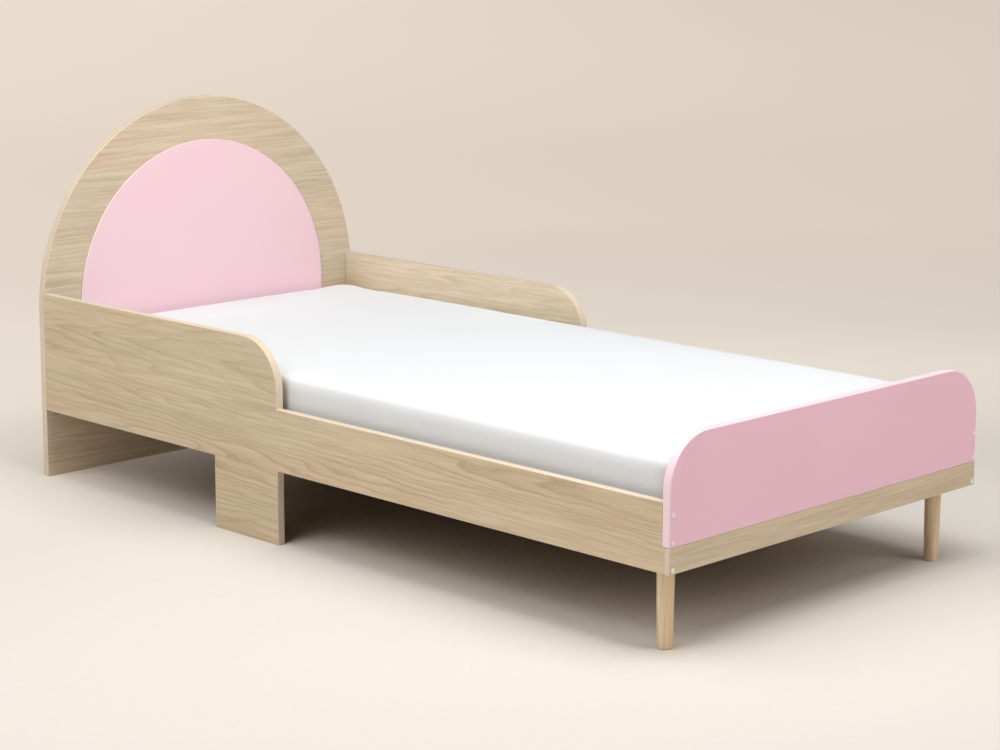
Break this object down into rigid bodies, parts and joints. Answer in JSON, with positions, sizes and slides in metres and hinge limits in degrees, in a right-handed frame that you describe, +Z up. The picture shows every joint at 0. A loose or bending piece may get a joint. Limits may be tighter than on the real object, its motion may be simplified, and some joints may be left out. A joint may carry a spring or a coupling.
{
  "type": "toddler bed",
  "caption": "Low child's bed with an arched headboard and pink inlay, half-length side guards with board legs, a pink foot panel on round legs, slatted base and mattress.",
  "frame": {"origin": "on the floor, under the middle of the bed's outer box", "axes": "+Y along the bed to the headboard, +X to the right seen from the foot end, +Z up"},
  "size_m": [0.95, 1.9466, 0.865],
  "materials": {
    "oak_effect": "satin",
    "turned_oak": "satin",
    "pink_lacquer": "satin",
    "pine": "matte",
    "white_cover": "matte",
    "webbing": "matte",
    "zinc_steel": "satin",
    "pink_cap": "satin",
    "cream_cap": "satin"
  },
  "bodies": {
    "frame": {"batten_foot": "pine", "batten_head": "pine", "batten_left": "pine", "batten_right": "pine", "corner_block_left": "pine", "corner_block_right": "pine", "foot_cap_left_1": "cream_cap", "foot_cap_left_2": "pink_cap", "foot_cap_left_3": "pink_cap", "foot_cap_right_1": "cream_cap", "foot_cap_right_2": "pink_cap", "foot_cap_right_3": "pink_cap", "foot_panel": "pink_lacquer", "foot_rail": "oak_effect", "foot_screw_left_1": "zinc_steel", "foot_screw_left_2": "zinc_steel", "foot_screw_left_3": "zinc_steel", "foot_screw_right_1": "zinc_steel", "foot_screw_right_2": "zinc_steel", "foot_screw_right_3": "zinc_steel", "head_cap_left_1": "cream_cap", "head_cap_left_2": "cream_cap", "head_cap_left_3": "cream_cap", "head_cap_right_1": "cream_cap", "head_cap_right_2": "cream_cap", "head_cap_right_3": "cream_cap", "head_screw_left_1": "zinc_steel", "head_screw_left_2": "zinc_steel", "head_screw_left_3": "zinc_steel", "head_screw_right_1": "zinc_steel", "head_screw_right_2": "zinc_steel", "head_screw_right_3": "zinc_steel", "headboard": "oak_effect", "headboard_inlay": "pink_lacquer", "leg_bolt_left": "zinc_steel", "leg_bolt_right": "zinc_steel", "leg_left": "turned_oak", "leg_plate_left": "zinc_steel", "leg_plate_right": "zinc_steel", "leg_right": "turned_oak", "side_panel_left": "oak_effect", "side_panel_right": "oak_effect", "slat_01": "pine", "slat_02": "pine", "slat_03": "pine", "slat_04": "pine", "slat_05": "pine", "slat_06": "pine", "slat_07": "pine", "slat_08": "pine", "slat_09": "pine", "slat_10": "pine", "slat_11": "pine", "slat_12": "pine", "slat_13": "pine", "slat_14": "pine", "slat_strap_left": "webbing", "slat_strap_right": "webbing"},
    "mattress_body": {"mattress": "white_cover"}
  },
  "joints": [
    {"name": "mattress_lift", "type": "slide", "parent": "frame", "child": "mattress_body", "axis": [0, 0, 1], "range_m": [0, 0.3]}
  ]
}
